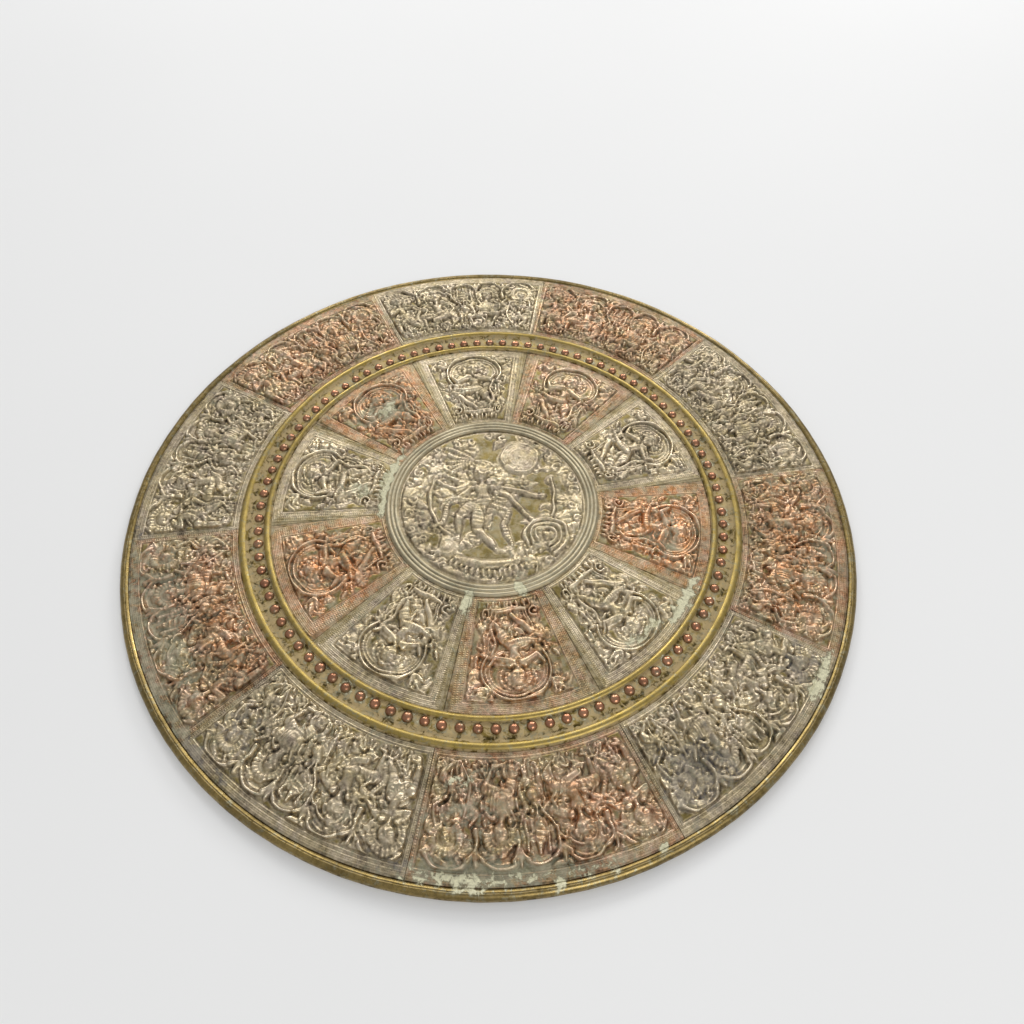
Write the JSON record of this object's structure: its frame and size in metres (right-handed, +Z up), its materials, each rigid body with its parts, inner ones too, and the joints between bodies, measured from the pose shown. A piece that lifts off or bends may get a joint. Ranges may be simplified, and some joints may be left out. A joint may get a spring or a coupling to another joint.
{
  "type": "relief plate",
  "caption": "Round flat display plate with two rings of struck white metal and copper relief panels, a studded brass moulding, a figured centre medallion and a rolled rim.",
  "frame": {"origin": "under the plate's centre, on the surface that it lies on", "axes": "+Z up out of the struck face, +X to the right and +Y to the head of the medallion's figure"},
  "size_m": [0.45, 0.45, 0.0077],
  "materials": {
    "plate_brass": "aged brass, turned, browned",
    "wire_steel": "drawn wire",
    "moulding_brass": "aged brass, polished on the crests",
    "stud_copper": "rubbed copper",
    "white_metal": "struck white metal, tarnished in the hollows",
    "ring_white_metal": "turned white metal, dull",
    "relief_copper": "struck copper, browned, some green",
    "pitch": "set pitch and brick dust"
  },
  "bodies": {
    "root": {"base_plate": "plate_brass", "rim_wire": "wire_steel", "studded_moulding": "moulding_brass", "copper_studs": "stud_copper", "medallion_relief": "white_metal", "medallion_ring": "ring_white_metal", "medallion_filler": "pitch", "outer_copper_panel_1": "relief_copper", "outer_filler_1": "pitch", "outer_white_panel_1": "white_metal", "outer_filler_2": "pitch", "outer_copper_panel_2": "relief_copper", "outer_filler_3": "pitch", "outer_white_panel_2": "white_metal", "outer_filler_4": "pitch", "outer_copper_panel_3": "relief_copper", "outer_filler_5": "pitch", "outer_white_panel_3": "white_metal", "outer_filler_6": "pitch", "outer_copper_panel_4": "relief_copper", "outer_filler_7": "pitch", "outer_white_panel_4": "white_metal", "outer_filler_8": "pitch", "outer_copper_panel_5": "relief_copper", "outer_filler_9": "pitch", "outer_white_panel_5": "white_metal", "outer_filler_10": "pitch", "inner_copper_panel_1": "relief_copper", "inner_filler_1": "pitch", "inner_white_panel_1": "white_metal", "inner_filler_2": "pitch", "inner_copper_panel_2": "relief_copper", "inner_filler_3": "pitch", "inner_white_panel_2": "white_metal", "inner_filler_4": "pitch", "inner_copper_panel_3": "relief_copper", "inner_filler_5": "pitch", "inner_white_panel_3": "white_metal", "inner_filler_6": "pitch", "inner_copper_panel_4": "relief_copper", "inner_filler_7": "pitch", "inner_white_panel_4": "white_metal", "inner_filler_8": "pitch", "inner_copper_panel_5": "relief_copper", "inner_filler_9": "pitch", "inner_white_panel_5": "white_metal", "inner_filler_10": "pitch"}
  },
  "joints": []
}
